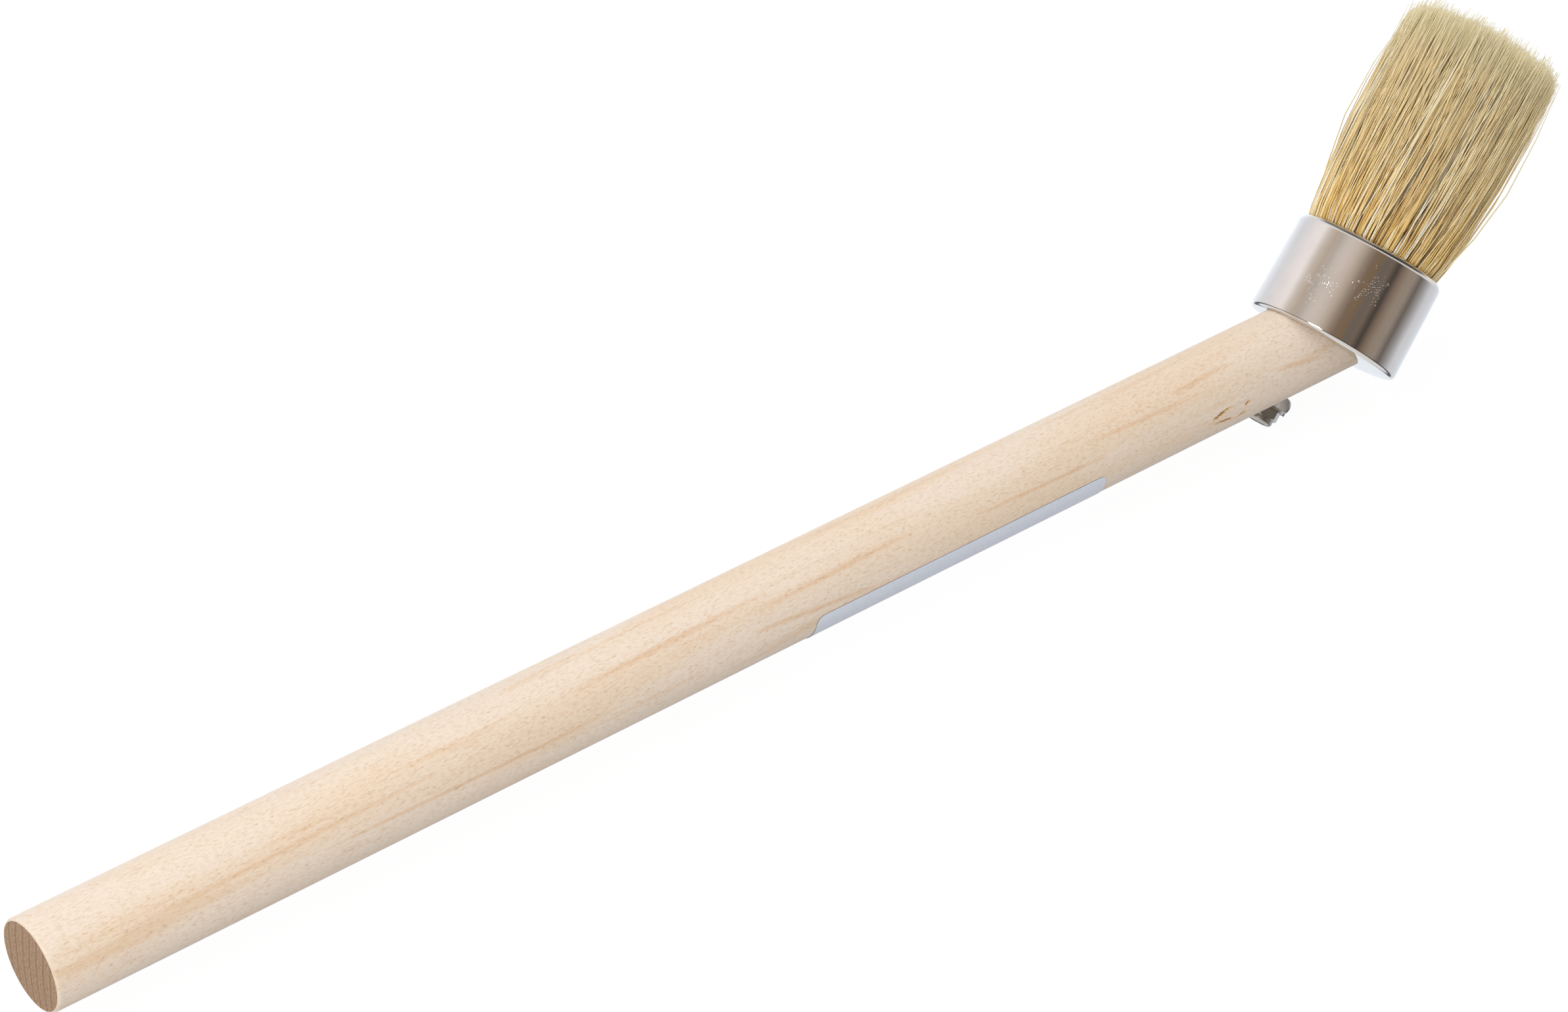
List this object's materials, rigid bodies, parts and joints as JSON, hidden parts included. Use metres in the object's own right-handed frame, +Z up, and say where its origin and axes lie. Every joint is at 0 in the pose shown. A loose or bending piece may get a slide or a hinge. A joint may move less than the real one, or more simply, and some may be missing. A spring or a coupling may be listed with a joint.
{
  "type": "angled round brush",
  "caption": "Long-handled round brush: a metal capsule of natural bristle bolted at 45 degrees to a mitred wooden dowel handle.",
  "frame": {"origin": "middle of the handle's round butt face, on the handle's axis", "axes": "+X along the handle to the head, +Z up: the capsule leans 45 degrees from +X towards +Z, and the XZ plane is the plane of symmetry"},
  "size_m": [0.408, 0.0376, 0.081],
  "materials": {
    "limewood": "raw sanded",
    "label_paper": "satin",
    "nickel_plate": "polished nickel plate",
    "bristle": "natural hog bristle",
    "twine": "waxed",
    "resin": "cast",
    "zinc_plate": "zinc plated",
    "nut_plate": "nickel plated",
    "nylon": "moulded"
  },
  "bodies": {
    "root": {"handle": "limewood", "label": "label_paper", "ferrule_cup": "nickel_plate", "bristle_tuft": "bristle", "root_binding": "twine", "resin_plug": "resin", "inner_washer": "zinc_plate", "pan_head_bolt": "zinc_plate", "tab_washer": "nut_plate", "lock_nut": "nut_plate", "nylon_insert": "nylon"}
  },
  "joints": []
}
